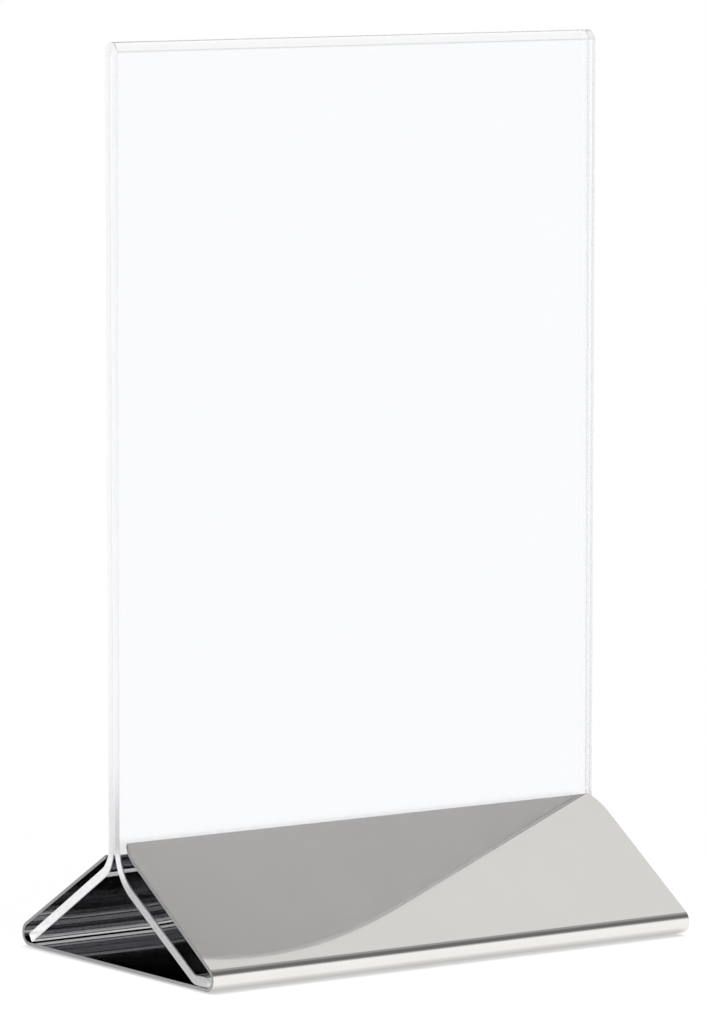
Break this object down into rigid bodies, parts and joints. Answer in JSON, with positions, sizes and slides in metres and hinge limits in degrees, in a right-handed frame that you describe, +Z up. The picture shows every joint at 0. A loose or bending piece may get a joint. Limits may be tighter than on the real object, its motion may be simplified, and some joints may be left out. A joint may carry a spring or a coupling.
{
  "type": "sign stand",
  "caption": "Table-top sign stand: a folded clear acrylic sleeve for an upright card, standing in the slot of a folded polished steel base that it slides out of endways.",
  "frame": {"origin": "on the surface the stand rests on, under the middle of the base", "axes": "+X runs along the sign, to the right as a reader in front sees it; -Y is the front, with the longer slope of the base; +Z is up"},
  "size_m": [0.15, 0.0882, 0.2349],
  "materials": {
    "polished_steel": "polished",
    "clear_acrylic": "polished",
    "pad_rubber": "matte"
  },
  "bodies": {
    "base": {"steel_base": "polished_steel", "pad_front_left": "pad_rubber", "pad_front_right": "pad_rubber", "pad_back_left": "pad_rubber", "pad_back_right": "pad_rubber"},
    "sleeve": {"acrylic_sleeve": "clear_acrylic"}
  },
  "joints": [
    {"name": "sleeve_slide", "type": "slide", "parent": "base", "child": "sleeve", "axis": [1, 0, 0], "range_m": [-0.155, 0.155]}
  ]
}
